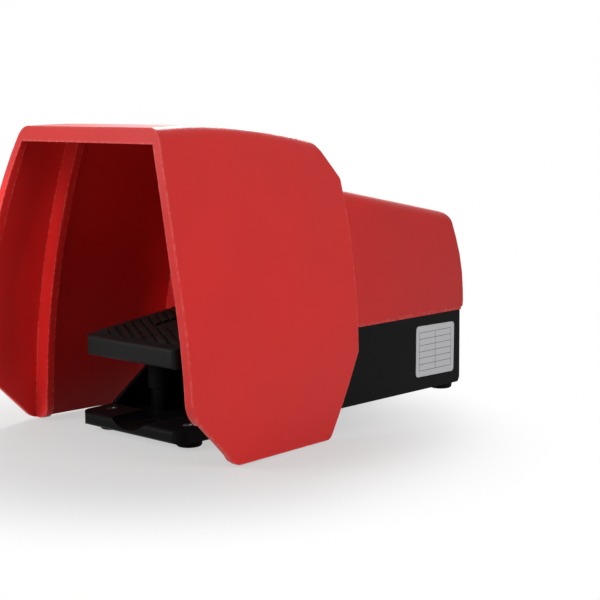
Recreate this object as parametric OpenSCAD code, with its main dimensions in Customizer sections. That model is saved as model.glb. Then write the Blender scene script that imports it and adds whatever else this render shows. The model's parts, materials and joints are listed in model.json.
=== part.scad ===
// Industrial foot switch: single pedal under a protective hood, with a sealed
// contact chamber behind it. Millimetres, +Z up, +Y to the rear, origin on the
// floor at the middle of the overall box. The operator stands on the -Y side.

/* [Base] */
// Width of the base housing
base_w = 90; // [88:1:94]
// Height of the seam between base and cover above the floor
seam_z = 55; // [54:0.5:57]
// Wall thickness of base and cover
wall = 3; // [2.5:0.1:3.2]
// Thickness of the front tongue that the front feet carry
tongue_t = 8.3; // [7:0.1:9.5]

/* [Hood] */
// Height of the crown of the hood above the floor
hood_top_z = 185.1; // [178:0.1:190]
// Half width of the hood at its bulge, at the foot of the front chamfer
hood_half_w = 94.7; // [92:0.1:98]
// Radius of the curve of the side plates, seen from the front
plate_r = 405; // [390:1:430]
// Radius of the arch of the roof, seen from the side
roof_r = 513; // [480:1:560]
// Angle by which each side plate closes in towards the rear
toe_in = 3.2; // [2.6:0.1:4]
// Wall thickness of the hood
hood_t = 3.2; // [2.6:0.1:3.6]
// Thickness of the bead round the front opening, at the sides
bead_side = 6; // [4.5:0.1:7]
// Thickness of the bead round the front opening, at the roof
bead_roof = 8.8; // [7:0.1:10]

/* [Pedal] */
// Width of the pedal
pedal_w = 82; // [78:0.5:83]
// Length of the tread plate
pedal_l = 103; // [96:0.5:104]
// Depth of the pedal's front edge
pedal_t = 12; // [10:0.5:13]
// Slope of the pedal at rest, rising to the rear
pedal_slope = 7; // [6:0.1:7.5]
// Distance between neighbouring tread bars
tread_pitch = 5.5; // [5:0.1:8]

/* [Pivot] */
// Radius of the pivot shaft
shaft_r = 4; // [3.5:0.1:4.2]
// Radial running clearance of shaft and plungers
fit = 0.05; // [0.03:0.01:0.08]

/* [Hidden] */

$fn = 64;
eps = 0.01;
half_w = base_w / 2;

// Stations along the length
base_front = -124;
base_rear = 137.6;
base_z = 4;
floor_z = base_z + 4;
cheek_front = -99;          // where the side walls start to rise from the tongue
cheek_top = -41;            // where they reach the height of the seam
partition_y = 20;           // front face of the wall of the contact chamber

// Pivot of the pedal
pivot_y = 8;
pivot_z = 48;
hub_r = 8.5;
bush_r = 6;
arm_x = 24;                 // middle of each pedal arm
arm_w = 9;
pedestal_in = 34;           // inner face of the pedestals that carry the shaft

// Front top edge of the pedal
pedal_y = -121.9;
pedal_z = 58.9;

// Contacts
plunger_x = 17;
plunger_z = 22;
plunger_r = 3;
block_y = 27;
block_l = 40;
block_w = 24;
block_z = 12;
block_h = 30;

// Hood outline, side view
hood_front = -158.2;
hood_bottom_z = 1.2;
back_low = [-17, 50];       // foot and head of the sloping rear wall
back_top = [-9, 151.5];
back_tilt = atan2(back_top.x - back_low.x, back_top.y - back_low.y);
plate_mid_z = 20;           // height at which the plates stand upright
plate_ref_y = -126;
plate_axis_x = hood_half_w - plate_r;
roof_y = -134;
shoulder_r = 8;             // rounding between plates and roof
rib_y = -122.5;             // front face of the side ribs, which lean back with height
rib_lean = 2.3;
rib_t = 7;
rib_h = 7;

foot_at = [[35, -106.5], [-35, -106.5], [36, 126], [-36, 126]];
cover_screw_at = [[38.5, 33], [-38.5, 33], [38.5, 108], [-38.5, 108]];
hood_screw_at = [[31, 36], [-31, 36], [31, 82], [-31, 82]];   // across, and up the rear wall
foot_sink = 1.4;            // depth of the spot faces of the front foot screws
gland_z = 30;

// ---------- Helpers ----------

// Points of a convex or concave outline whose corners [x, y, r] are rounded to radius r
function unit(v) = v / norm(v);
function corner(a, b, c, r) =
    let (u = unit([a.x - b.x, a.y - b.y]), v = unit([c.x - b.x, c.y - b.y]),
         half = acos(max(-1, min(1, u * v))) / 2, m = unit(u + v),
         mid = [b.x, b.y] + m * r / sin(half), t = r / tan(half),
         p = [b.x, b.y] + u * t - mid, q = [b.x, b.y] + v * t - mid,
         turn = 180 - 2 * half, side = sign(p.x * q.y - p.y * q.x), n = ceil(turn / 12) + 1)
    [for (i = [0:n]) let (w = side * turn * i / n)
        mid + [p.x * cos(w) - p.y * sin(w), p.x * sin(w) + p.y * cos(w)]];
function rounded(pts) = let (n = len(pts))
    [for (i = [0:n - 1]) let (a = pts[(i + n - 1) % n], b = pts[i], c = pts[(i + 1) % n])
        each (b[2] > 0 ? corner(a, b, c, b[2]) : [[b.x, b.y]])];

// Extrudes an outline given as [y, z] along X, centred
module along_x(w) {
    rotate([90, 0, 90]) linear_extrude(height = w, center = true) children();
}

// Cylinder along X or along Y from the given start
module rod_x(r, x0, x1, y, z) {
    translate([x0, y, z]) rotate([0, 90, 0]) cylinder(r = r, h = x1 - x0);
}
module rod_y(r, y0, y1, x, z) {
    translate([x, y0, z]) rotate([-90, 0, 0]) cylinder(r = r, h = y1 - y0);
}
module box(x0, x1, y0, y1, z0, z1) {
    translate([x0, y0, z0]) cube([x1 - x0, y1 - y0, z1 - z0]);
}
module both_sides() {
    children();
    mirror([1, 0, 0]) children();
}
module post(r, x, y, z0, z1) {
    translate([x, y, z0]) cylinder(r = r, h = z1 - z0);
}

// Pan-head screw along +Z, head down at z = 0, with a hexagon socket
module screw(head_r, head_h, r, len) {
    difference() {
        union() {
            cylinder(r = head_r, h = head_h);
            cylinder(r = r, h = head_h + len);
        }
        translate([0, 0, -eps]) cylinder(r = head_r * 0.5, h = head_h * 0.6, $fn = 6);
    }
}

// ---------- Base ----------

module base_outline() {
    polygon(rounded([
        [base_front, base_z, 3], [base_front, base_z + tongue_t, 3],
        [cheek_front, base_z + tongue_t + 0.5, 6], [cheek_top, seam_z, 8],
        [base_rear, seam_z, 0], [base_rear - 1, base_z + 4, 1.5], [base_rear - 4, base_z, 1.5]]));
}

module base_plan() {
    polygon(rounded([[-half_w, base_front, 8], [half_w, base_front, 8],
        [half_w, base_rear, 3], [-half_w, base_rear, 3]]));
}

module base_housing() {
    inner = half_w - wall;
    color("#1a1a1c") difference() {
        union() {
            difference() {
                intersection() {
                    along_x(base_w) base_outline();
                    linear_extrude(height = seam_z) base_plan();
                }
                box(-inner, inner, cheek_front, base_rear - 4, floor_z, seam_z + 1);
            }
            // wall between the pivot bay and the contact chamber
            box(-inner - eps, inner + eps, partition_y, partition_y + 3.5, floor_z - eps, seam_z);
            both_sides() {
                // pedestals that carry the pivot shaft
                box(pedestal_in, inner + eps, pivot_y - 9, pivot_y + 9, floor_z - eps, pivot_z);
                // pillars of the return springs and of the pedal buffers
                post(9, 18, -36, floor_z - eps, 22);
                post(4, 18, -36, 20, 27);
                post(7, 26, -74, floor_z - eps, 27);
            }
            for (p = cover_screw_at) post(5, p.x, p.y, floor_z - eps, seam_z);
            for (p = foot_at) if (p.y > 0) post(7, p.x, p.y, floor_z - eps, floor_z + 2);
            // pillar of the rest stop, bosses of the contact bracket, boss of the earth screw
            box(-8, 8, -8, -1, floor_z - eps, 26);
            for (x = [-33, 33]) post(4.5, x, 62, floor_z - eps, block_z - 2);
            post(5, 0, 100, floor_z - eps, 16);
            // flat round the cable entry
            rod_y(15.5, base_rear - 3, base_rear, 0, gland_z);
        }
        // dished drain between the two pads of the tongue
        rod_y(24, base_front - 1, cheek_front + 2, 0, base_z + 2.6 + 24);
        // saddles of the shaft and thread holes of their caps
        rod_x(shaft_r + fit, -inner, inner, pivot_y, pivot_z);
        both_sides() for (dy = [-6.5, 6.5]) post(1.6, 38, pivot_y + dy, pivot_z - 14, pivot_z + 1);
        for (x = [-plunger_x, plunger_x]) rod_y(6, partition_y - 1, partition_y + 5, x, plunger_z);
        for (p = cover_screw_at) {
            post(2.2, p.x, p.y, base_z - 1, seam_z + 1);
            post(4.2, p.x, p.y, base_z - 1, base_z + 5);
        }
        for (p = foot_at) post(2.1, p.x, p.y, base_z - 1, 20);
        // spot faces of the front foot screws
        for (p = foot_at) if (p.y < 0) post(4.2, p.x, p.y, base_z + tongue_t - foot_sink, seam_z);
        for (x = [-33, 33]) post(1.6, x, 62, floor_z - 2, block_z);
        post(1.7, 0, 100, floor_z, 17);
        rod_y(10.1, base_rear - 5, base_rear + 1, 0, gland_z);
        // ribbed hollow on the underside
        for (x = [-24, 0, 24]) box(x - 9, x + 9, -92, -30, base_z - 1, base_z + 1.6);
        for (x = [-24, 0, 24]) box(x - 9, x + 9, -22, 96, base_z - 1, base_z + 1.6);
        // shallow seat of the rating label
        label_blank(0.4, 41, 35);
    }
}

// ---------- Cover ----------

// The cover's front face lies on the hood's rear wall
function cover_front(z) = back_low.x + (z - back_low.y) * tan(back_tilt);
cover_z0 = 147.8;
cover_z1 = 121.6;
cover_rear = 139;

module cover_outline(d = 0) {
    polygon(rounded([
        [cover_front(seam_z + 1) + d, seam_z + 1, 0],
        [cover_front(cover_z0) + d, cover_z0 - 1.02 * d, 0],
        [cover_rear - 14 - d, cover_z1 - 1.02 * d, 12 - d], [cover_rear - d, 86.5, 100],
        [cover_rear - d, seam_z + 5, 4], [cover_rear - d - 0.8, seam_z + 1, 0]]));
}

module cover_section(d = 0) {
    polygon(rounded([[-half_w - 1 + d, seam_z + 1 - (d > 0 ? 5 : 0), 0],
        [half_w + 1 - d, seam_z + 1 - (d > 0 ? 5 : 0), 0],
        [half_w - 1 - d, cover_z0 - 1.02 * d, 7 - d], [-half_w + 1 + d, cover_z0 - 1.02 * d, 7 - d]]));
}

// Section with rounded top corners, pushed along the slope of the cover's top
module cover_form(d = 0) {
    slope = atan2(cover_z0 - cover_z1, cover_rear - 14 - cover_front(cover_z0));
    intersection() {
        along_x(base_w + 10) cover_outline(d);
        translate([0, cover_front(cover_z0), cover_z0]) rotate([-slope, 0, 0])
            translate([0, 170, -cover_z0]) rotate([90, 0, 0]) linear_extrude(height = 220)
                cover_section(d);
    }
}

module rear_cover() {
    color("#a82a2b") difference() {
        union() {
            difference() {
                cover_form();
                cover_form(wall);
            }
            intersection() {
                cover_form(1);
                union() {
                    box(-half_w, half_w, partition_y, partition_y + 3, seam_z + 1, 150);
                    for (p = cover_screw_at) post(5, p.x, p.y, seam_z + 1, seam_z + 18);
                    in_back() for (p = hood_screw_at) rod_y(5.5, 0, 13, p.x, p.y);
                }
            }
            // lip that hangs over the seam
            difference() {
                linear_extrude_at(seam_z - 0.6, 2) offset_plan(1);
                linear_extrude_at(seam_z - 1, 3) offset_plan(0.2);
                in_back() box(-60, 60, -50, 0.5, -50, 100);
            }
        }
        for (p = cover_screw_at) post(1.7, p.x, p.y, seam_z, seam_z + 15);
        in_back() for (p = hood_screw_at) rod_y(3.5, -1, 10, p.x, p.y);
        // mouth that the pedal arms pass through
        in_back() box(-42, 42, -1, wall + 1, 0, 27);
    }
}

module linear_extrude_at(z, h) {
    translate([0, 0, z]) linear_extrude(height = h) children();
}

module offset_plan(d) {
    front = cover_front(seam_z);
    polygon(rounded([[-half_w - d, front, 0], [half_w + d, front, 0],
        [half_w + d, base_rear + d, 3 + d], [-half_w - d, base_rear + d, 3 + d]]));
}

module cover_gasket() {
    inner = half_w - wall;
    color("#222222") linear_extrude_at(seam_z, 1) difference() {
        offset_plan(0);
        translate([-inner, -20]) square([2 * inner, partition_y + 20]);
        translate([-inner, partition_y + 3.5]) square([2 * inner, base_rear - 7 - partition_y]);
    }
}

module cover_screws() {
    color("silver") for (p = cover_screw_at)
        translate([p.x, p.y, base_z + 2]) screw(3.9, 3, 1.7, 60);
}

// ---------- Hood ----------

function roof_z(y) = hood_top_z - roof_r + sqrt(roof_r * roof_r - (y - roof_y) * (y - roof_y));

// Side view of the hood: chamfered plates whose front edge leans back near the top
module hood_outline() {
    lean_r = 405;
    lean_z = 94;
    polygon(rounded(concat(
        [[back_low.x, back_low.y, 4], [-44.5, hood_bottom_z, 5],
            [-125.2, hood_bottom_z, 10], [hood_front, 34, 16]],
        [for (z = [lean_z:15:185])
            [hood_front + (z - lean_z) * (z - lean_z) / (2 * lean_r), z, 0]],
        [[hood_front + 14, 200, 0], [-43, 200, 0], [back_top.x, back_top.y, 4]])));
}

// Frame of the sloping rear wall: z runs up its back face, y points to the rear
module in_back() {
    translate([0, back_low.x, back_low.y]) rotate([-back_tilt, 0, 0]) children();
}

// Half space inside both curved plates, d thinner than the outside
module plate_form(d = 0, r = plate_r, mid_z = plate_mid_z) {
    intersection() {
        plate_side(d, r, mid_z);
        mirror([1, 0, 0]) plate_side(d, r, mid_z);
    }
}
module plate_side(d, r, mid_z) {
    translate([plate_axis_x + plate_r - d, plate_ref_y, mid_z]) rotate([0, 0, toe_in])
        translate([-r, -60, 0]) rotate([-90, 0, 0]) cylinder(r = r, h = 200, $fn = 360);
}

module roof_form(d = 0) {
    translate([0, roof_y, hood_top_z - roof_r]) rotate([0, 90, 0])
        cylinder(r = roof_r - d, h = 260, center = true, $fn = 360);
}

// Rounds the corner between plates and roof to shoulder_r, d thinner than the outside, by
// drums whose faces touch the rounding at rising angles
module shoulders(d = 0) {
    z = hood_top_z - shoulder_r;
    drop = plate_r - shoulder_r;
    x = plate_axis_x + sqrt(drop * drop - (z - plate_mid_z) * (z - plate_mid_z));
    low = asin((z - plate_mid_z) / drop);
    // slope of the plate halfway down to the rear end of the roof
    mean = asin((z - 6 - plate_mid_z) / drop);
    module drum(a) {
        r = (roof_r - shoulder_r) * cos(mean) / sin(a - mean);
        translate([x, roof_y, z]) rotate([0, 0, toe_in]) rotate([0, -a, 0])
            translate([shoulder_r - d - r, 0, 0]) cylinder(r = r, h = 700, center = true, $fn = 360);
    }
    intersection_for (k = [1:3]) {
        a = low + (90 - low) * k / 4;
        drum(a);
        mirror([1, 0, 0]) drum(a);
    }
}

module hood_solid() {
    intersection() {
        plate_form();
        roof_form();
        shoulders();
        along_x(240) hood_outline();
    }
}

module protective_hood() {
    color("#c9393a") difference() {
        hood_solid();
        // room inside, behind the bead
        difference() {
            intersection() {
                plate_form(hood_t);
                roof_form(hood_t);
                shoulders(hood_t);
                along_x(300) hood_room();
            }
            // ribs that stiffen the plates
            difference() {
                translate([0, rib_y, 0]) rotate([-rib_lean, 0, 0])
                    box(-120, 120, 0, rib_t, -5, 190);
                plate_form(hood_t + rib_h);
            }
        }
        // opening inside the bead
        intersection() {
            plate_form(bead_side);
            roof_form(bead_roof);
            box(-120, 120, hood_front - 5, rib_y, -5, 200);
        }
        // mouth for the pedal arms and seat on the base
        box(-half_w - 0.4, half_w + 0.4, -40, 0, 0, seam_z + 1);
        box(-42, 42, -40, 0, 0, 77);
        in_back() for (p = hood_screw_at) rod_y(2.2, -10, 10, p.x, p.y);
    }
}

// Side view of the room: open below and at the front, closed by the rear wall
module hood_room() {
    back_t = hood_t / cos(back_tilt);
    polygon([[hood_front + 6, -10], [hood_front + 6, 95], [hood_front + 18, 200], [-26, 200],
        [-26, 170], [back_top.x - back_t, back_top.y - 1.5],
        [back_low.x - back_t, back_low.y], [back_low.x - back_t, -10]]);
}

module hood_screws() {
    color("silver") in_back() for (p = hood_screw_at)
        translate([p.x, -hood_t - 2.6, p.y]) rotate([-90, 0, 0]) screw(4, 2.6, 2, 12);
}

module hood_inserts() {
    color("goldenrod") in_back() for (p = hood_screw_at) difference() {
        rod_y(3.5, 0, 9, p.x, p.y);
        rod_y(2, -1, 10, p.x, p.y);
    }
}

// ---------- Pedal ----------

// Places children in the pedal's own frame: z = 0 on the tread, y = 0 at the front edge
module in_pedal() {
    translate([0, pedal_y, pedal_z]) rotate([pedal_slope, 0, 0]) children();
}

module pedal_plan(d = 0) {
    w = pedal_w / 2 - d;
    polygon(rounded([[-w, d, 5], [w, d, 5], [w, pedal_l - d, 4], [-w, pedal_l - d, 4]]));
}

// Tread plate between two depths below the tread, with upright sides, d inside the outline
module pedal_block(d, top, low, r) {
    y1 = pedal_y + pedal_l;
    rise = pedal_l * tan(pedal_slope);
    intersection() {
        translate([0, pedal_y, pedal_z - 30]) linear_extrude(height = 60) pedal_plan(d);
        along_x(pedal_w + 1) polygon(rounded([[pedal_y, pedal_z - top, r],
            [y1, pedal_z - top + rise, r], [y1, pedal_z - low + rise, r], [pedal_y, pedal_z - low, r]]));
    }
}

// Slanting bars across the tread, with a plain panel in the middle
module tread_bars() {
    border = 8;
    bar_w = 3.3;
    bar_h = 1.4;
    slant = 31;
    intersection() {
        linear_extrude_at(-0.5, 0.5 + bar_h) difference() {
            translate([-pedal_w / 2 + 3, border])
                square([pedal_w - 6, pedal_l - border - 5]);
            translate([-15, 32]) square([30, 28]);
        }
        translate([0, pedal_l / 2, -1]) rotate([0, 0, -slant])
            for (i = [-12:12]) translate([-70, i * tread_pitch, 0]) cube([140, bar_w, 3]);
    }
}

module pedal() {
    color("#1c1b1a") difference() {
        union() {
            in_pedal() {
                tread_bars();
                // ribs under the tread plate
                for (x = [-arm_x, 0, arm_x]) box(x - 1.25, x + 1.25, 2, pedal_l - 3, -pedal_t, -2);
                for (y = [34, 68]) box(-pedal_w / 2 + 2, pedal_w / 2 - 2, y, y + 2.5, -pedal_t, -2);
            }
            difference() {
                pedal_block(0, 0, pedal_t, 2.2);
                pedal_block(3, 3, pedal_t + 10, 0);
            }
            both_sides() {
                // arms back to the hub, and seats of the return springs
                translate([arm_x, 0, 0]) along_x(arm_w) arm_outline();
                post(8.5, 18, -36, 58, 67.5);
                // pads that meet the buffers
                post(6, 26, -74, 49, 62.8);
            }
            rod_x(hub_r, -arm_x - arm_w / 2, arm_x + arm_w / 2, pivot_y, pivot_z);
            box(-24, 24, pivot_y - 5, pivot_y - 0.5, 26, pivot_z);
        }
        rod_x(shaft_r + 0.6, -40, 40, pivot_y, pivot_z);
        both_sides() rod_x(bush_r, arm_x - arm_w / 2 - 1, 40, pivot_y, pivot_z);
        for (x = [-18, 18]) {
            rod_y(1.6, pivot_y - 6, pivot_y + 1, x, 34);
            post(8.5, x, -36, 50, 58);      // room for the heads of the springs
        }
    }
}

module arm_outline() {
    polygon([[-29, 53], [-29, 67.8], [-17.5, 69.5], [pivot_y + 3, pivot_z + 7.9],
        [pivot_y + 3, pivot_z - 7.9], [pivot_y - 6, pivot_z - 6]]);
}

module pivot_bushes() {
    color("#d8c9a0") both_sides() difference() {
        union() {
            rod_x(bush_r, arm_x - arm_w / 2 - 1, arm_x + arm_w / 2, pivot_y, pivot_z);
            rod_x(hub_r - 0.5, arm_x + arm_w / 2, arm_x + arm_w / 2 + 1.2, pivot_y, pivot_z);
        }
        rod_x(shaft_r + fit, 0, 40, pivot_y, pivot_z);
    }
}

module pivot_shaft() {
    color("silver") difference() {
        rod_x(shaft_r, -half_w + wall + 0.3, half_w - wall - 0.3, pivot_y, pivot_z);
        both_sides() difference() {
            rod_x(shaft_r + 1, 30.4, 31.6, pivot_y, pivot_z);
            rod_x(shaft_r - 0.8, 30, 32, pivot_y, pivot_z);
        }
    }
}

module shaft_clips() {
    color("dimgray") both_sides() difference() {
        rod_x(shaft_r + 3, 30.5, 31.5, pivot_y, pivot_z);
        rod_x(shaft_r - 0.8, 30, 32, pivot_y, pivot_z);
        box(30, 32, pivot_y - 2.6, pivot_y + 2.6, pivot_z, pivot_z + 10);
    }
}

module bearing_caps() {
    inner = half_w - wall;
    color("#1a1a1c") both_sides() difference() {
        box(pedestal_in, inner - 0.3, pivot_y - 9, pivot_y + 9, pivot_z, pivot_z + 7);
        rod_x(shaft_r + fit, 30, 50, pivot_y, pivot_z);
        for (dy = [-6.5, 6.5]) post(1.8, 38, pivot_y + dy, pivot_z - 1, pivot_z + 8);
    }
}

module bearing_cap_screws() {
    color("silver") both_sides() for (dy = [-6.5, 6.5])
        translate([38, pivot_y + dy, pivot_z + 7 + 2]) rotate([180, 0, 0]) screw(2.4, 2, 1.6, 17);
}

module striker_plate() {
    color("silver") difference() {
        box(-24, 24, pivot_y - 0.5, pivot_y + 2.5, 14, 39);
        for (x = [-18, 18]) rod_y(1.7, pivot_y - 2, pivot_y + 4, x, 34);
        box(-8, 8, pivot_y - 2, pivot_y + 4, 10, 27);
    }
}

module striker_screws() {
    color("dimgray") for (x = [-18, 18])
        translate([x, pivot_y + 2.5 + 2, 34]) rotate([90, 0, 0]) screw(3, 2, 1.6, 7.4);
}

// Coil with n turns of wire, as one swept tube
module coil(r, wire_r, h, turns) {
    steps = 14;
    sides = 6;
    n = steps * turns;
    lift = h - 2 * wire_r;
    function at(i, k) = let (a = 360 * i / steps, b = 360 * k / sides, q = r + wire_r * cos(b))
        [q * cos(a), q * sin(a), wire_r + lift * i / n + wire_r * sin(b)];
    pts = [for (i = [0:n]) for (k = [0:sides - 1]) at(i, k)];
    polyhedron(points = pts, faces = concat(
        [[for (k = [0:sides - 1]) k]],
        [for (i = [0:n - 1]) for (k = [0:sides - 1]) let (a = i * sides + k,
            b = i * sides + (k + 1) % sides) each [[a, a + sides, b + sides], [a, b + sides, b]]],
        [[for (k = [sides - 1:-1:0]) n * sides + k]]), convexity = 10);
}

module return_springs() {
    color("gray") for (x = [-18, 18]) translate([x, -36, 22]) coil(6.6, 0.9, 35.8, 7);
}

module pedal_buffers() {
    color("#2a2a2a") both_sides() difference() {
        post(8.5, 26, -74, 22, 36.3);
        post(7, 26, -74, 21, 27);
    }
}

module rest_stop() {
    color("#2a2a2a") box(-7, 7, -1, pivot_y - 5.3, 18, 30);
}

// ---------- Contacts ----------

module contact_bracket() {
    color("silver") difference() {
        box(-39, 39, block_y + 2, block_y + block_l + 2, block_z - 2, block_z);
        for (x = [-33, 33]) post(1.8, x, 62, 0, 20);
        for (x = [-plunger_x, plunger_x], y = [8, 32]) post(1.7, x, block_y + y, 0, 20);
        for (p = cover_screw_at) post(5.5, p.x, p.y, 0, 20);
    }
}

module bracket_screws() {
    color("silver") for (x = [-33, 33])
        translate([x, 62, block_z + 2]) rotate([180, 0, 0]) screw(3, 2, 1.6, 5.8);
}

module contact_block(x) {
    y1 = block_y + block_l;
    top = block_z + block_h;
    difference() {
        box(x - block_w / 2, x + block_w / 2, block_y, y1, block_z, top);
        // stepped terminal shelves at both ends
        box(x - block_w / 2 - 1, x + block_w / 2 + 1, block_y - 1, block_y + 10, top - 9, top + 1);
        box(x - block_w / 2 - 1, x + block_w / 2 + 1, y1 - 10, y1 + 1, top - 9, top + 1);
        for (dx = [-6, 6], y = [block_y + 5, y1 - 5]) post(1.8, x + dx, y, top - 17, top);
        rod_y(plunger_r + fit, block_y - 1, block_y + 18, x, plunger_z);
        for (y = [8, 32]) post(1.6, x, block_y + y, block_z - 1, block_z + 4);
        // slots that part the two contact pairs
        box(x - 0.8, x + 0.8, block_y + 12, y1 - 12, top - 6, top + 1);
    }
}

module contact_block_left() { color("#30343a") contact_block(-plunger_x); }
module contact_block_right() { color("#30343a") contact_block(plunger_x); }

module contact_block_screws() {
    color("silver") for (x = [-plunger_x, plunger_x], y = [8, 32])
        translate([x, block_y + y, block_z - 3.6]) screw(2.6, 1.6, 1.6, 5.6);
}

module plunger(x) {
    color("ivory") {
        rod_y(plunger_r, pivot_y + 4, block_y + 12, x, plunger_z);
        translate([x, pivot_y + 4, plunger_z]) rotate([90, 0, 0])
            intersection() {
                translate([0, 0, -2.6]) sphere(r = 4, $fn = 48);
                cylinder(r = plunger_r, h = 5);
            }
    }
}
module plunger_left() { plunger(-plunger_x); }
module plunger_right() { plunger(plunger_x); }

module plunger_seals() {
    color("#2a2a2a") for (x = [-plunger_x, plunger_x]) difference() {
        union() {
            rod_y(6, partition_y, partition_y + 3.5, x, plunger_z);
            rod_y(7.5, partition_y - 1.5, partition_y, x, plunger_z);
            rod_y(7.5, partition_y + 3.5, partition_y + 5, x, plunger_z);
        }
        rod_y(plunger_r + fit, 0, 40, x, plunger_z);
    }
}

module terminal_screws() {
    top = block_z + block_h - 9;
    color("silver") for (x = [-plunger_x, plunger_x], dx = [-6, 6], y = [5, block_l - 5])
        translate([x + dx, block_y + y, top + 2.4]) rotate([180, 0, 0]) screw(2.9, 2.4, 1.8, 7);
}

module earth_terminal() {
    color("goldenrod") {
        translate([0, 100, 19.4]) rotate([180, 0, 0]) screw(3.2, 2.2, 1.7, 8);
        difference() {
            post(4.6, 0, 100, 16, 17.2);
            post(1.7, 0, 100, 15, 18);
        }
    }
}

// ---------- Cable entry ----------

module gland_body() {
    color("#303030") difference() {
        union() {
            rod_y(10, base_rear - 15, base_rear + 1, 0, gland_z);
            hex_y(13.6, base_rear, base_rear + 6);
            rod_y(9.4, base_rear - 1, base_rear + 12, 0, gland_z);
        }
        rod_y(6, base_rear - 16, base_rear + 7, 0, gland_z);
        rod_y(7.6, base_rear + 6, base_rear + 20, 0, gland_z);
    }
}

module hex_y(r, y0, y1) {
    translate([0, y0, gland_z]) rotate([-90, 0, 0]) rotate([0, 0, 30]) cylinder(r = r, h = y1 - y0, $fn = 6);
}

module gland_seal() {
    color("#222222") difference() {
        rod_y(7.6, base_rear + 6, base_rear + 15.5, 0, gland_z);
        rod_y(4, base_rear + 5, base_rear + 20, 0, gland_z);
    }
}

module gland_nut() {
    color("#303030") difference() {
        union() {
            hex_y(13.2, base_rear + 6.6, base_rear + 13);
            rod_y(11.4, base_rear + 12, base_rear + 13.5, 0, gland_z);
            translate([0, base_rear + 13.5, gland_z]) rotate([-90, 0, 0])
                cylinder(r1 = 11.4, r2 = 8.6, h = 7.1);
        }
        rod_y(9.4, base_rear + 6, base_rear + 12.2, 0, gland_z);
        rod_y(7.6, base_rear + 12, base_rear + 15.5, 0, gland_z);
        rod_y(5, base_rear + 15, base_rear + 22, 0, gland_z);
    }
}

module gland_locknut() {
    color("#303030") difference() {
        hex_y(13.6, base_rear - 9.5, base_rear - 4);
        rod_y(10, base_rear - 10, base_rear, 0, gland_z);
    }
}

// ---------- Feet and label ----------

module rubber_feet() {
    color("#151515") for (p = foot_at) translate([p.x, p.y, 0]) difference() {
        rotate_extrude() polygon(rounded([[0, 0, 0], [7.4, 0, 1.4], [8, base_z, 0], [0, base_z, 0]]));
        translate([0, 0, 1]) cylinder(r = 2, h = 10);
    }
}

module foot_screws() {
    color("silver") for (p = foot_at) {
        head_z = p.y < 0 ? base_z + tongue_t - foot_sink : floor_z + 2;
        translate([p.x, p.y, head_z + 1.6]) rotate([180, 0, 0]) screw(3.6, 1.6, 2, head_z - 1.6);
    }
}

module label_blank(depth, w, h) {
    translate([half_w - depth, base_rear - 28.6, 29.8]) rotate([-1, 0, 0]) rotate([90, 0, 90])
        linear_extrude(height = depth + 1)
            polygon(rounded([[-w / 2, -h / 2, 2.5], [w / 2, -h / 2, 2.5],
                [w / 2, h / 2, 2.5], [-w / 2, h / 2, 2.5]]));
}

module rating_label() {
    color("#c8c9cb") intersection() {
        label_blank(0.4, 40.5, 34.4);
        box(0, half_w - 0.1, 0, 200, 0, 100);
    }
}

base_housing();
rear_cover();
cover_gasket();
cover_screws();
protective_hood();
hood_screws();
hood_inserts();
pedal();
pivot_bushes();
pivot_shaft();
shaft_clips();
bearing_caps();
bearing_cap_screws();
striker_plate();
striker_screws();
return_springs();
pedal_buffers();
rest_stop();
contact_bracket();
bracket_screws();
contact_block_left();
contact_block_right();
contact_block_screws();
plunger_left();
plunger_right();
plunger_seals();
terminal_screws();
earth_terminal();
gland_body();
gland_seal();
gland_nut();
gland_locknut();
rubber_feet();
foot_screws();
rating_label();
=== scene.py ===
import json
import math

import bmesh
import bpy
from mathutils import Matrix, Vector


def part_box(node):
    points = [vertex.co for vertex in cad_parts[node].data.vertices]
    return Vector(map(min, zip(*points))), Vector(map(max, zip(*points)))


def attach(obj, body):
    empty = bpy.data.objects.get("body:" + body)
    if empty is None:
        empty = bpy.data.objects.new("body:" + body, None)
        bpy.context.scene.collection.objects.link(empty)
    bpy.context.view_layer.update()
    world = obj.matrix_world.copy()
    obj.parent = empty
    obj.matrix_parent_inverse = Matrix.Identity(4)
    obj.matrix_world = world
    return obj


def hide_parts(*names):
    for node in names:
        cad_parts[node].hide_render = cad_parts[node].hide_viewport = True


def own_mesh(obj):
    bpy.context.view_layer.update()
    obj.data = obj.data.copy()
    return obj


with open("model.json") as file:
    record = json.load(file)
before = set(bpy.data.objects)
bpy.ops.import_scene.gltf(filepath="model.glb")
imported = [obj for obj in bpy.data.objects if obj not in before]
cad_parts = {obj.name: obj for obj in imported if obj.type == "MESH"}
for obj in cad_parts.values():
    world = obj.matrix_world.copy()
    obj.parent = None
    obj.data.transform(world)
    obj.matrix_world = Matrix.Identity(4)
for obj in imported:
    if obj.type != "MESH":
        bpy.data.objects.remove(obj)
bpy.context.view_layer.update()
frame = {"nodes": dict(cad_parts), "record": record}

nodes = frame["nodes"]
scene = bpy.context.scene
print("frame loaded:", len(nodes), "nodes")


# camera, lamps, world and floor

cameraPlan = {
    "place": (0.66884, -0.67209, 0.20287),
    "azimuth": 43.86,     # degrees, turned left from +Y; the next two are degrees as well
    "down": 7.93,
    "roll": -0.51,
    "lens": 89.4,         # mm, on a 36 mm sensor
}


def makeCamera(plan):
    turn = (Matrix.Rotation(math.radians(plan["azimuth"]), 4, "Z")
            @ Matrix.Rotation(math.radians(90 - plan["down"]), 4, "X")
            @ Matrix.Rotation(math.radians(plan["roll"]), 4, "Z"))
    data = bpy.data.cameras.new("shopCamera")
    data.lens = plan["lens"]
    camera = bpy.data.objects.new("shopCamera", data)
    camera.matrix_world = Matrix.Translation(plan["place"]) @ turn
    scene.collection.objects.link(camera)
    scene.camera = camera


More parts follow.
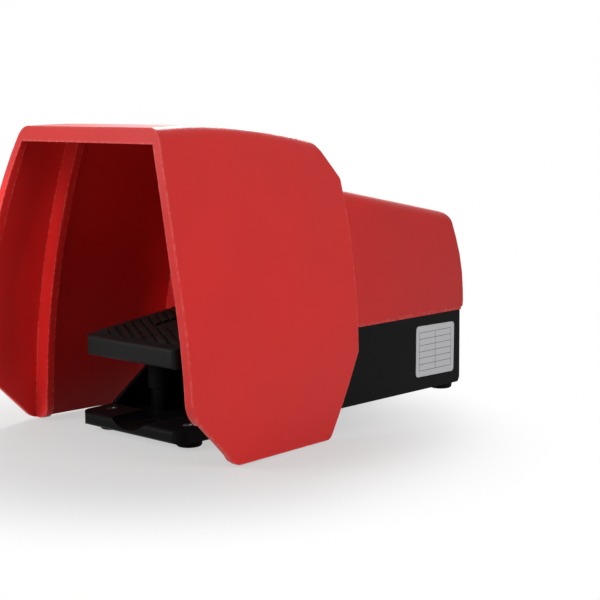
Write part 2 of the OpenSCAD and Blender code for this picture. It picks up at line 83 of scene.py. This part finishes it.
lampPlans = [   # name, place, aim, width, depth, watts, spread in degrees
    ("frontBox", (-0.65, -1.50, 0.85), (0.0, -0.05, 0.08), 0.8, 0.8, 21.0, 180),
    ("topBox", (0.0, 0.10, 1.70), (0.0, 0.0, 0.0), 1.8, 1.8, 4.0, 180),
    ("rightBox", (0.95, -0.15, 0.50), (0.09, -0.18, 0.10), 0.50, 0.40, 0.85, 62),
    ("backBox", (-1.00, 1.23, 1.15), (0.0, 0.0, 0.05), 0.6, 0.5, 26.0, 180),
    ("ribBox", (-0.03, -0.70, 0.10), (-0.084, -0.122, 0.085), 0.03, 0.15, 0.013, 8),
]


def makeLamp(name, place, aim, width, depth, watts, spread):
    data = bpy.data.lights.new(name, "AREA")
    data.spread = math.radians(spread)
    data.shape = "RECTANGLE"
    data.size, data.size_y, data.energy = width, depth, watts
    lamp = bpy.data.objects.new(name, data)
    lamp.location = place
    lamp.rotation_euler = (Vector(aim) - Vector(place)).to_track_quat("-Z", "Y").to_euler()
    scene.collection.objects.link(lamp)


worldPlan = {"light": (1, 1, 1, 1), "strength": 0.14}   # even light from all round, itself seen as white


def makeWorld(plan):
    world = bpy.data.worlds.new("studio")
    world.use_nodes = True
    tree = world.node_tree
    tree.nodes.clear()
    path = tree.nodes.new("ShaderNodeLightPath")
    seen = tree.nodes.new("ShaderNodeMath")
    seen.operation = "MAXIMUM"
    tree.links.new(path.outputs["Is Camera Ray"], seen.inputs[0])
    seenThrough = tree.nodes.new("ShaderNodeMath")
    seenThrough.operation = "MAXIMUM"
    tree.links.new(path.outputs["Is Glossy Ray"], seenThrough.inputs[0])
    tree.links.new(path.outputs["Is Transmission Ray"], seenThrough.inputs[1])
    tree.links.new(seenThrough.outputs[0], seen.inputs[1])
    plain, white = tree.nodes.new("ShaderNodeBackground"), tree.nodes.new("ShaderNodeBackground")
    plain.inputs["Color"].default_value = plan["light"]
    plain.inputs["Strength"].default_value = plan["strength"]
    white.inputs["Color"].default_value = plan["light"]
    mix = tree.nodes.new("ShaderNodeMixShader")
    tree.links.new(seen.outputs[0], mix.inputs["Fac"])
    tree.links.new(plain.outputs[0], mix.inputs[1])
    tree.links.new(white.outputs[0], mix.inputs[2])
    out = tree.nodes.new("ShaderNodeOutputWorld")
    tree.links.new(mix.outputs[0], out.inputs["Surface"])
    scene.world = world


floorPlan = {
    "half": 6.0, "tone": (0.575, 0.575, 0.58, 1), "rough": 0.55, "middle": (0.01, -0.10, 0.0),
    "near": 0.09, "far": 0.235,     # where the table starts to fade to plain white, and where it is white
    "paintedGlow": 0.80, "share": 0.64,    # painted light under the object: the floor's own glow, seen by camera and reflected rays only and dimmer near the object as painted shade, and how much of it shows
}


def makeFloor(plan):
    bm = bmesh.new()
    bmesh.ops.create_grid(bm, x_segments=8, y_segments=8, size=plan["half"])
    mesh = bpy.data.meshes.new("floor")
    bm.to_mesh(mesh)
    bm.free()
    floor = bpy.data.objects.new("floor", mesh)
    scene.collection.objects.link(floor)
    paint = bpy.data.materials.new("paleFloor")
    paint.use_nodes = True
    tree = paint.node_tree
    link = tree.links.new
    shade = tree.nodes["Principled BSDF"]
    shade.inputs["Base Color"].default_value = plan["tone"]
    shade.inputs["Roughness"].default_value = plan["rough"]
    coords = tree.nodes.new("ShaderNodeTexCoord")
    away = tree.nodes.new("ShaderNodeVectorMath")
    away.operation = "DISTANCE"
    away.inputs[1].default_value = plan["middle"]
    link(coords.outputs["Object"], away.inputs[0])
    fade = tree.nodes.new("ShaderNodeMapRange")
    fade.interpolation_type = "SMOOTHSTEP"
    fade.inputs["From Min"].default_value = plan["near"]
    fade.inputs["From Max"].default_value = plan["far"]
    link(away.outputs["Value"], fade.inputs["Value"])
    path = tree.nodes.new("ShaderNodeLightPath")
    seen = tree.nodes.new("ShaderNodeMath")
    seen.operation = "MAXIMUM"
    link(path.outputs["Is Camera Ray"], seen.inputs[0])
    link(path.outputs["Is Glossy Ray"], seen.inputs[1])
    shown = tree.nodes.new("ShaderNodeMapRange")
    shown.inputs["To Min"].default_value = plan["share"]
    link(fade.outputs["Result"], shown.inputs["Value"])
    share = tree.nodes.new("ShaderNodeMath")
    share.operation = "MULTIPLY"
    link(shown.outputs["Result"], share.inputs[0])
    link(seen.outputs[0], share.inputs[1])
    # painted light: floor emission for camera and reflected rays, dimmer near the object as painted shade,
    # full white away from it
    paintedGlow = tree.nodes.new("ShaderNodeMapRange")
    paintedGlow.inputs["To Min"].default_value = plan["paintedGlow"]
    link(fade.outputs["Result"], paintedGlow.inputs["Value"])
    white = tree.nodes.new("ShaderNodeEmission")
    link(paintedGlow.outputs["Result"], white.inputs["Strength"])
    mix = tree.nodes.new("ShaderNodeMixShader")
    link(share.outputs[0], mix.inputs["Fac"])
    link(shade.outputs[0], mix.inputs[1])
    link(white.outputs[0], mix.inputs[2])
    link(mix.outputs[0], tree.nodes["Material Output"].inputs["Surface"])
    mesh.materials.append(paint)


makeCamera(cameraPlan)
for lampPlan in lampPlans:
    makeLamp(*lampPlan)
makeWorld(worldPlan)
makeFloor(floorPlan)
scene.view_settings.view_transform = "Standard"
print("camera, lamps and floor placed")


# shared effects, as node groups

def newGroup(name, inputs, outputs):
    group = bpy.data.node_groups.new(name, "ShaderNodeTree")
    for label, kind, value in inputs:
        socket = group.interface.new_socket(name=label, in_out="INPUT", socket_type="NodeSocket" + kind)
        socket.default_value = value
    for label, kind in outputs:
        group.interface.new_socket(name=label, in_out="OUTPUT", socket_type="NodeSocket" + kind)
    return group, group.nodes.new("NodeGroupInput"), group.nodes.new("NodeGroupOutput")


def mathNode(tree, operation, first, second):
    node = tree.nodes.new("ShaderNodeMath")
    node.operation = operation
    for socket, value in zip(node.inputs, (first, second)):
        if isinstance(value, (int, float)):
            socket.default_value = value
        else:
            tree.links.new(value, socket)
    return node.outputs[0]


def rangeNode(tree, value, low, high, toLow=0.0, toHigh=1.0):
    node = tree.nodes.new("ShaderNodeMapRange")
    tree.links.new(value, node.inputs["Value"])
    for label, number in (("From Min", low), ("From Max", high), ("To Min", toLow), ("To Max", toHigh)):
        if isinstance(number, (int, float)):
            node.inputs[label].default_value = number
        else:
            tree.links.new(number, node.inputs[label])
    return node.outputs["Result"]


def noiseNode(tree, vector, scale, detail=2.0):
    node = tree.nodes.new("ShaderNodeTexNoise")
    node.inputs["Detail"].default_value = detail
    tree.links.new(vector, node.inputs["Vector"])
    if isinstance(scale, (int, float)):
        node.inputs["Scale"].default_value = scale
    else:
        tree.links.new(scale, node.inputs["Scale"])
    return node.outputs["Fac"]


def mixColours(tree, share, first, second):
    node = tree.nodes.new("ShaderNodeMix")
    node.data_type = "RGBA"
    sockets = (node.inputs["Factor"], node.inputs[6], node.inputs[7])
    for socket, value in zip(sockets, (share, first, second)):
        if isinstance(value, (int, float, tuple)):
            socket.default_value = value
        else:
            tree.links.new(value, socket)
    return node.outputs[2]


grainPlan = {"coarser": 0.33, "coarseShare": 0.6, "clouds": 22.0}


def makeGrainGroup(plan):   # spark-eroded mould texture: fine pits with a few larger ones
    group, given, made = newGroup(
        "mouldGrain", [("Fineness", "Float", 1500.0)], [("Height", "Float"), ("Tone", "Float")])
    coords = group.nodes.new("ShaderNodeTexCoord").outputs["Object"]
    fine = noiseNode(group, coords, given.outputs["Fineness"], 3.0)
    wider = mathNode(group, "MULTIPLY", given.outputs["Fineness"], plan["coarser"])
    coarse = noiseNode(group, coords, wider)
    height = mathNode(group, "ADD", fine, mathNode(group, "MULTIPLY", coarse, plan["coarseShare"]))
    group.links.new(height, made.inputs["Height"])
    group.links.new(noiseNode(group, coords, plan["clouds"], 4.0), made.inputs["Tone"])
    return group


wearAndGlintPlan = {    # match of a face with the rounded edge where wear and the painted edge highlight start and are full; noise that shows
    "start": 0.99, "full": 0.80, "patches": (0.40, 0.68), "samples": 4,
}


def makeWearAndGlintGroup(plan):    # rubbed edges, broken up by noise; on the red housing the same mask also paints a highlight along the rims
    group, given, made = newGroup(
        "edgeWearAndGlint", [("Reach", "Float", 0.001), ("Patches", "Float", 120.0)], [("Mask", "Float")])
    bevel = group.nodes.new("ShaderNodeBevel")
    bevel.samples = plan["samples"]
    group.links.new(given.outputs["Reach"], bevel.inputs["Radius"])
    face = group.nodes.new("ShaderNodeNewGeometry").outputs["Normal"]
    dot = group.nodes.new("ShaderNodeVectorMath")
    dot.operation = "DOT_PRODUCT"
    group.links.new(bevel.outputs[0], dot.inputs[0])
    group.links.new(face, dot.inputs[1])
    edge = rangeNode(group, dot.outputs["Value"], plan["start"], plan["full"])
    coords = group.nodes.new("ShaderNodeTexCoord").outputs["Object"]
    patches = rangeNode(group, noiseNode(group, coords, given.outputs["Patches"], 4.0), *plan["patches"])
    group.links.new(mathNode(group, "MULTIPLY", edge, patches), made.inputs["Mask"])
    return group


dustPlan = {"colour": (0.55, 0.53, 0.50, 1), "upward": (0.30, 1.0), "clouds": 60.0, "cloudy": (0.35, 0.75)}


def makeDustGroup(plan):    # thin film that settles on what faces up
    group, given, made = newGroup("settledDust", [("Amount", "Float", 0.2)], [("Mask", "Float")])
    split = group.nodes.new("ShaderNodeSeparateXYZ")
    group.links.new(group.nodes.new("ShaderNodeNewGeometry").outputs["Normal"], split.inputs[0])
    upward = rangeNode(group, split.outputs["Z"], *plan["upward"])
    coords = group.nodes.new("ShaderNodeTexCoord").outputs["Object"]
    cloud = rangeNode(group, noiseNode(group, coords, plan["clouds"], 6.0), *plan["cloudy"], 0.3, 1.0)
    film = mathNode(group, "MULTIPLY", mathNode(group, "MULTIPLY", upward, cloud), given.outputs["Amount"])
    group.links.new(film, made.inputs["Mask"])
    return group


effectGroups = (makeGrainGroup(grainPlan), makeWearAndGlintGroup(wearAndGlintPlan), makeDustGroup(dustPlan))


# finishes, one dictionary of user values each

finishPlans = {
    # red housing: the paler edge colour in fine patches is partly wear and partly a painted highlight
    # sparkle along the rims
    "redHousing": {
        "slot": "red_housing", "colour": (0.58, 0.014, 0.012, 1), "deep": (0.55, 0.012, 0.010, 1),
        "wornAndGlint": (0.80, 0.26, 0.22, 1), "wearAndGlint": 0.6, "reach": 0.0020, "dust": 0.03, "patches": 420.0,
        "fineness": 1500.0, "pit": 0.00006, "rough": (0.36, 0.46), "metal": 0.0, "gloss": 0.28},
    "blackHousing": {
        "slot": "black_housing", "colour": (0.0020, 0.0020, 0.0022, 1), "deep": (0.0014, 0.0014, 0.0016, 1),
        "wornAndGlint": (0.035, 0.035, 0.035, 1), "wearAndGlint": 0.3, "reach": 0.0010, "dust": 0.008,
        "fineness": 1300.0, "pit": 0.00006, "rough": (0.40, 0.50), "metal": 0.0, "gloss": 0.06},
    "pedalBlack": {
        "slot": "pedal_black", "colour": (0.0046, 0.0044, 0.0042, 1), "deep": (0.0042, 0.0041, 0.0040, 1),
        "wornAndGlint": (0.06, 0.056, 0.052, 1), "wearAndGlint": 0.4, "reach": 0.0012, "dust": 0.02,
        "fineness": 1200.0, "pit": 0.00008, "rough": (0.45, 0.58), "metal": 0.0, "gloss": 0.12},
    "blackRubber": {
        "slot": "black_rubber", "colour": (0.0030, 0.0030, 0.0030, 1), "deep": (0.0022, 0.0022, 0.0022, 1),
        "wornAndGlint": (0.03, 0.03, 0.029, 1), "wearAndGlint": 0.3, "reach": 0.0008, "dust": 0.02,
        "fineness": 1700.0, "pit": 0.00004, "rough": (0.62, 0.78), "metal": 0.0, "gloss": 0.06},
    "zincSteel": {
        "slot": "zinc_steel", "colour": (0.58, 0.59, 0.60, 1), "deep": (0.42, 0.43, 0.45, 1),
        "wornAndGlint": (0.80, 0.80, 0.80, 1), "wearAndGlint": 0.5, "reach": 0.0004, "dust": 0.03,
        "fineness": 2500.0, "pit": 0.00001, "rough": (0.26, 0.42), "metal": 1.0},
    "dullSteel": {
        "slot": "zinc_steel", "colour": (0.20, 0.20, 0.21, 1), "deep": (0.12, 0.12, 0.125, 1),
        "wornAndGlint": (0.45, 0.45, 0.45, 1), "wearAndGlint": 0.4, "reach": 0.0004, "dust": 0.03,
        "fineness": 2500.0, "pit": 0.00002, "rough": (0.42, 0.60), "metal": 1.0},
    "brightSteel": {
        "slot": "bright_steel", "colour": (0.66, 0.66, 0.67, 1), "deep": (0.52, 0.52, 0.53, 1),
        "wornAndGlint": (0.85, 0.85, 0.85, 1), "wearAndGlint": 0.4, "reach": 0.0004, "dust": 0.02,
        "fineness": 3000.0, "pit": 0.000008, "rough": (0.16, 0.30), "metal": 1.0},
    "springSteel": {
        "slot": "spring_steel", "colour": (0.36, 0.35, 0.33, 1), "deep": (0.22, 0.21, 0.20, 1),
        "wornAndGlint": (0.60, 0.59, 0.56, 1), "wearAndGlint": 0.3, "reach": 0.0003, "dust": 0.03,
        "fineness": 2500.0, "pit": 0.00001, "rough": (0.25, 0.42), "metal": 1.0},
    "brass": {
        "slot": "brass", "colour": (0.70, 0.50, 0.21, 1), "deep": (0.52, 0.35, 0.13, 1),
        "wornAndGlint": (0.85, 0.66, 0.34, 1), "wearAndGlint": 0.5, "reach": 0.0003, "dust": 0.02,
        "fineness": 2500.0, "pit": 0.00001, "rough": (0.22, 0.38), "metal": 1.0},
    "bushPlastic": {
        "slot": "bush_plastic", "colour": (0.62, 0.56, 0.42, 1), "deep": (0.52, 0.46, 0.33, 1),
        "wornAndGlint": (0.72, 0.68, 0.56, 1), "wearAndGlint": 0.2, "reach": 0.0004, "dust": 0.03,
        "fineness": 2000.0, "pit": 0.00002, "rough": (0.40, 0.52), "metal": 0.0},
    "contactPlastic": {
        "slot": "contact_plastic", "colour": (0.045, 0.052, 0.062, 1), "deep": (0.03, 0.036, 0.045, 1),
        "wornAndGlint": (0.16, 0.17, 0.18, 1), "wearAndGlint": 0.3, "reach": 0.0005, "dust": 0.02,
        "fineness": 1800.0, "pit": 0.00003, "rough": (0.38, 0.50), "metal": 0.0},
    "glandPlastic": {
        "slot": "gland_plastic", "colour": (0.020, 0.020, 0.021, 1), "deep": (0.014, 0.014, 0.015, 1),
        "wornAndGlint": (0.09, 0.09, 0.09, 1), "wearAndGlint": 0.4, "reach": 0.0008, "dust": 0.05,
        "fineness": 1600.0, "pit": 0.00004, "rough": (0.38, 0.52), "metal": 0.0},
}


sharedPlan = {  # the same for every finish; "pit" above is the depth of the bump in metres
    "bump": 0.6, "toneSpread": (0.35, 0.65), "roughSpread": (0.3, 0.7),
}


def makeFinish(name, plan):
    finish = bpy.data.materials.new(name)
    finish.use_nodes = True
    finish.diffuse_color = plan["colour"]
    tree = finish.node_tree
    link = tree.links.new
    shade = tree.nodes["Principled BSDF"]
    shade.inputs["Metallic"].default_value = plan["metal"]
    shade.inputs["Specular IOR Level"].default_value = plan.get("gloss", 0.5)
    parts = []
    for group in effectGroups:
        node = tree.nodes.new("ShaderNodeGroup")
        node.node_tree = group
        parts.append(node)
    grain, wearAndGlint, dust = parts
    grain.inputs["Fineness"].default_value = plan["fineness"]
    wearAndGlint.inputs["Reach"].default_value = plan["reach"]
    wearAndGlint.inputs["Patches"].default_value = plan.get("patches", 120.0)
    dust.inputs["Amount"].default_value = plan["dust"]
    tone = rangeNode(tree, grain.outputs["Tone"], *sharedPlan["toneSpread"])
    colour = mixColours(tree, tone, plan["deep"], plan["colour"])
    # edge colour: wear, and on the red housing also a painted highlight
    rubbedAndGlint = mathNode(tree, "MULTIPLY", wearAndGlint.outputs["Mask"], plan["wearAndGlint"])
    colour = mixColours(tree, rubbedAndGlint, colour, plan["wornAndGlint"])
    colour = mixColours(tree, dust.outputs["Mask"], colour, dustPlan["colour"])
    link(colour, shade.inputs["Base Color"])
    rough = rangeNode(tree, grain.outputs["Tone"], *sharedPlan["roughSpread"], *plan["rough"])
    link(rough, shade.inputs["Roughness"])
    bump = tree.nodes.new("ShaderNodeBump")
    bump.inputs["Strength"].default_value = sharedPlan["bump"]
    bump.inputs["Distance"].default_value = plan["pit"]
    link(grain.outputs["Height"], bump.inputs["Height"])
    link(bump.outputs["Normal"], shade.inputs["Normal"])
    return finish


finishes = {name: makeFinish(name, plan) for name, plan in finishPlans.items()}

labelPlan = {
    "foil": (0.59, 0.59, 0.61, 1), "shade": (0.46, 0.46, 0.48, 1), "ink": (0.10, 0.10, 0.11, 1),
    "row": 0.0043, "column": 0.017, "rule": 0.00022,    # size of a field, and width of its lines
    "halfWide": 0.0172, "halfHigh": 0.0131,             # reach of the table from the label's middle
    "streaks": (400, 30, 1), "metal": 0.25, "rough": (0.34, 0.46),
}


def makeLabelFinish(plan):  # brushed foil with an empty ruled table, and nothing written in it
    finish = bpy.data.materials.new("labelFoil")
    finish.use_nodes = True
    tree = finish.node_tree
    link = tree.links.new
    shade = tree.nodes["Principled BSDF"]
    low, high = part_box("rating_label")
    middle = (low + high) / 2
    coords = tree.nodes.new("ShaderNodeTexCoord")
    flat = tree.nodes.new("ShaderNodeMapping")      # X of the pattern runs along the label, Y up it
    flat.vector_type = "TEXTURE"
    flat.inputs["Location"].default_value = (middle.x, middle.y, middle.z)
    flat.inputs["Rotation"].default_value = (math.radians(90), 0, math.radians(90))
    link(coords.outputs["Object"], flat.inputs["Vector"])
    table = tree.nodes.new("ShaderNodeTexBrick")
    table.offset = 0.0
    table.inputs["Scale"].default_value = 1.0
    table.inputs["Brick Width"].default_value = plan["column"]
    table.inputs["Row Height"].default_value = plan["row"]
    table.inputs["Mortar Size"].default_value = plan["rule"]
    table.inputs["Mortar Smooth"].default_value = 0.3
    link(flat.outputs["Vector"], table.inputs["Vector"])
    split = tree.nodes.new("ShaderNodeSeparateXYZ")
    link(flat.outputs["Vector"], split.inputs[0])
    inX = mathNode(tree, "LESS_THAN", mathNode(tree, "ABSOLUTE", split.outputs["X"], 0.0), plan["halfWide"])
    inY = mathNode(tree, "LESS_THAN", mathNode(tree, "ABSOLUTE", split.outputs["Y"], 0.0), plan["halfHigh"])
    rules = mathNode(tree, "MULTIPLY", mathNode(tree, "MULTIPLY", inX, inY), table.outputs["Fac"])
    stretched = tree.nodes.new("ShaderNodeMapping")
    stretched.inputs["Scale"].default_value = plan["streaks"]
    link(flat.outputs["Vector"], stretched.inputs["Vector"])
    brushed = noiseNode(tree, stretched.outputs["Vector"], 6.0, 4.0)
    foil = mixColours(tree, brushed, plan["shade"], plan["foil"])
    link(mixColours(tree, rules, foil, plan["ink"]), shade.inputs["Base Color"])
    shade.inputs["Metallic"].default_value = plan["metal"]
    link(rangeNode(tree, brushed, *sharedPlan["roughSpread"], *plan["rough"]), shade.inputs["Roughness"])
    return finish


finishes["labelFoil"] = makeLabelFinish(labelPlan)
finishPlans["labelFoil"] = {"slot": "label_foil"}
print("finishes made:", len(finishes))


# making pieces

bodies = frame["record"]["behaviour"]["bodies"]
nodeBody = {node: body for body, members in bodies.items() for node in members}


def placePiece(name, bm, node, finish, sharp=40.0):     # the finished piece stands for its node
    mesh = bpy.data.meshes.new(name)
    bm.to_mesh(mesh)
    bm.free()
    mesh.polygons.foreach_set("use_smooth", [True] * len(mesh.polygons))
    mesh.set_sharp_from_angle(angle=math.radians(sharp))
    mesh.materials.append(finishes[finish])
    piece = bpy.data.objects.new(name, mesh)
    scene.collection.objects.link(piece)
    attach(piece, nodeBody[node])
    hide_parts(node)
    flatten = piece.modifiers.new("evenShading", "WEIGHTED_NORMAL")
    flatten.keep_sharp = True
    return piece


mergePlan = {   # metres, degrees between faces, and steps of a rounding
    "doubles": 0.000008, "flat": 0.3, "corner": 32.0, "steps": 2,
}


def mergedCopy(node):   # the node's loose triangles, merged and cleared of flat edges
    bm = bmesh.new()
    bm.from_mesh(nodes[node].data)
    bmesh.ops.remove_doubles(bm, verts=bm.verts, dist=mergePlan["doubles"])
    flat = math.radians(mergePlan["flat"])
    bmesh.ops.dissolve_limit(bm, angle_limit=flat, verts=bm.verts, edges=bm.edges)
    return bm


def sharpEdges(bm, angle):
    return [e for e in bm.edges if len(e.link_faces) == 2 and e.calc_face_angle(0) > math.radians(angle)]


def roundEdges(bm, edges, radius, segments):
    bmesh.ops.bevel(bm, geom=edges, offset=radius, segments=segments, profile=0.5,
                    affect="EDGES", clamp_overlap=True, material=-1)


def softened(node, finish, soft):
    bm = mergedCopy(node)
    if soft > 0:
        roundEdges(bm, sharpEdges(bm, mergePlan["corner"]), soft, mergePlan["steps"])
    placePiece(node + "_finished", bm, node, finish)


softPlans = {   # node: finish, edge radius
    "base_housing": ("blackHousing", 0.0008),
    "rear_cover": ("redHousing", 0.0010),
    "cover_gasket": ("blackRubber", 0.0),
    "cover_screws": ("zincSteel", 0.0003),
    "hood_screws": ("zincSteel", 0.0003),
    "hood_inserts": ("brass", 0.0002),
    "pedal": ("pedalBlack", 0.0006),
    "pivot_bushes": ("bushPlastic", 0.0002),
    "pivot_shaft": ("brightSteel", 0.0003),
    "shaft_clips": ("springSteel", 0.0001),
    "bearing_caps": ("blackHousing", 0.0004),
    "bearing_cap_screws": ("zincSteel", 0.0002),
    "striker_plate": ("zincSteel", 0.0003),
    "striker_screws": ("zincSteel", 0.0002),
    "pedal_buffers": ("blackRubber", 0.0005),
    "rest_stop": ("blackRubber", 0.0005),
    "contact_bracket": ("zincSteel", 0.0002),
    "bracket_screws": ("zincSteel", 0.0002),
    "contact_block_left": ("contactPlastic", 0.0003),
    "contact_block_right": ("contactPlastic", 0.0003),
    "contact_block_screws": ("zincSteel", 0.0002),
    "plunger_left": ("bushPlastic", 0.0),
    "plunger_right": ("bushPlastic", 0.0),
    "plunger_seals": ("blackRubber", 0.0002),
    "terminal_screws": ("zincSteel", 0.0002),
    "earth_terminal": ("brass", 0.0002),
    "gland_body": ("glandPlastic", 0.0004),
    "gland_seal": ("blackRubber", 0.0002),
    "gland_nut": ("glandPlastic", 0.0005),
    "gland_locknut": ("glandPlastic", 0.0003),
    "rubber_feet": ("blackRubber", 0.0003),
    "foot_screws": ("dullSteel", 0.0003),
    "rating_label": ("labelFoil", 0.0),
}

for node, (finish, soft) in softPlans.items():
    softened(node, finish, soft)


hoodPlan = {
    # the moulding as it is in the frame, which the finer shapes below start from
    "plateRadius": 0.405, "plateWidth": 0.0947, "plateMiddle": 0.020, "plateStart": -0.126, "toeIn": 3.2,
    "roofTop": 0.1851, "roofRadius": 0.513, "roofMiddle": -0.134, "wall": 0.0032,
    "ribFront": -0.1225, "ribLean": 2.3, "ribThick": 0.007, "ribHigh": 0.007, "ribBottom": 0.0035,
    "lipBack": -0.1522, "lipKnee": 0.095, "lipLean": 0.1143, "lipFoot": 0.0285,
    # the finer shapes: ribs and lip, crown of the roof, and rounded edges
    "ribThinner": 0.0022, "ribTaller": 0.0042, "footRound": 0.0078, "footSteps": 4, "lipShorter": 0.0030,
    "crown": 0.0009, "crownBack": (-0.150, 0.045), "crownHigh": (0.150, 0.025),     # start and run-in
    "rimDeep": 0.0026, "rimRound": 0.0017, "rimSteps": 4, "edgeRound": 0.0009, "edgeSteps": 3, "sharp": 32.0,
    "near": 0.0001, "nearFree": 0.0003,     # how close a point must lie to count as on a face
}


def plateDepth(plan, spot):     # how far a point lies inside the outer skin of its curved plate, level
    turn, radius = math.radians(plan["toeIn"]), plan["plateRadius"]
    outward, back = abs(spot.x) - plan["plateWidth"], spot.y - plan["plateStart"]
    across = outward * math.cos(turn) + back * math.sin(turn)
    return math.sqrt(radius ** 2 - (spot.z - plan["plateMiddle"]) ** 2) - radius - across


def roofDepth(plan, spot):
    return plan["roofRadius"] - math.hypot(
        spot.y - plan["roofMiddle"], spot.z - plan["roofTop"] + plan["roofRadius"])


def shapeRibsAndLip(bm, plan):
    toe, lean = math.tan(math.radians(plan["toeIn"])), math.radians(plan["ribLean"])
    ribTop, near = plan["wall"] + plan["ribHigh"], plan["near"]
    feet = set()
    for v in bm.verts:
        side, depth = math.copysign(1.0, v.co.x), plateDepth(plan, v.co)
        alongRib = (v.co.y - plan["ribFront"]) * math.cos(lean) - v.co.z * math.sin(lean)
        onRear = abs(alongRib - plan["ribThick"]) < near
        lipBack = plan["lipBack"] + max(0.0, v.co.z - plan["lipKnee"]) * plan["lipLean"]
        if -near < alongRib < plan["ribThick"] + near and abs(depth - ribTop) < plan["nearFree"]:
            v.co.x -= side * plan["ribTaller"]
            if v.co.z < plan["ribBottom"]:
                feet.add(v)
        if onRear:      # a thinner rib
            v.co.y -= plan["ribThinner"]
            v.co.x += side * plan["ribThinner"] * toe
        if abs(v.co.y - lipBack) < near and v.co.z > plan["lipFoot"]:       # a shorter lip behind the rim
            v.co.y -= plan["lipShorter"]
            v.co.x += side * plan["lipShorter"] * toe
    footEdges = [e for e in bm.edges if feet.issuperset(e.verts)]
    roundEdges(bm, footEdges, plan["footRound"], plan["footSteps"])


def runIn(value, start, run):
    return min(1.0, max(0.0, (value - start) / run))


def liftCrown(bm, plan):
    for v in bm.verts:
        back, high = runIn(v.co.y, *plan["crownBack"]), runIn(v.co.z, *plan["crownHigh"])
        v.co.z += plan["crown"] * back * back * (3 - 2 * back) * high


def makeHood(plan):
    bm = mergedCopy("protective_hood")
    shapeRibsAndLip(bm, plan)
    rim = [e for e in sharpEdges(bm, plan["sharp"])
           if all(min(plateDepth(plan, v.co), roofDepth(plan, v.co)) < plan["rimDeep"] for v in e.verts)]
    roundEdges(bm, rim, plan["rimRound"], plan["rimSteps"])
    roundEdges(bm, sharpEdges(bm, plan["sharp"]), plan["edgeRound"], plan["edgeSteps"])
    liftCrown(bm, plan)
    placePiece("protective_hood_finished", bm, "protective_hood", "redHousing", plan["sharp"])


makeHood(hoodPlan)

springPlan = {      # closed ends and open coils, wound from one wire
    "places": ((-0.018, -0.036), (0.018, -0.036)), "foot": 0.022, "height": 0.0358,
    "coil": 0.0066, "wire": 0.0009, "turns": 7,     # radii of coil and wire
    "endRise": 2.05,    # rise of an end turn, in wire radii
    "steps": 40, "sides": 12, "sharp": 60.0,
    "drop": 0.0068,     # how far the pedal presses their heads down
}


def makeSprings(plan):
    bm = bmesh.new()
    wire, steps = plan["wire"], plan["steps"]
    closed = plan["endRise"] * wire
    opened = (plan["height"] - 2 * wire - 2 * closed) / (plan["turns"] - 2)
    for x, y in plan["places"]:
        start = (Matrix.Translation((x + plan["coil"], y, plan["foot"] + wire))
                 @ Matrix.Rotation(math.radians(90), 4, "X"))
        ring = bmesh.ops.create_circle(bm, segments=plan["sides"], radius=wire, matrix=start)["verts"]
        last = ring + list({e for v in ring for e in v.link_edges})
        for rise, turns in ((closed, 1), (opened, plan["turns"] - 2), (closed, 1)):
            last = bmesh.ops.spin(
                bm, geom=last, cent=(x, y, 0), axis=(0, 0, 1), dvec=(0, 0, rise / steps),
                angle=math.radians(360 * turns), steps=steps * turns)["geom_last"]
    bmesh.ops.holes_fill(bm, edges=[e for e in bm.edges if e.is_boundary], sides=0)
    bmesh.ops.recalc_face_normals(bm, faces=bm.faces)
    springs = placePiece("return_springs_finished", bm, "return_springs", "springSteel", plan["sharp"])
    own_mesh(springs)


makeSprings(springPlan)
print("pieces made:", len(softPlans), "with softened edges, the hood and the springs")
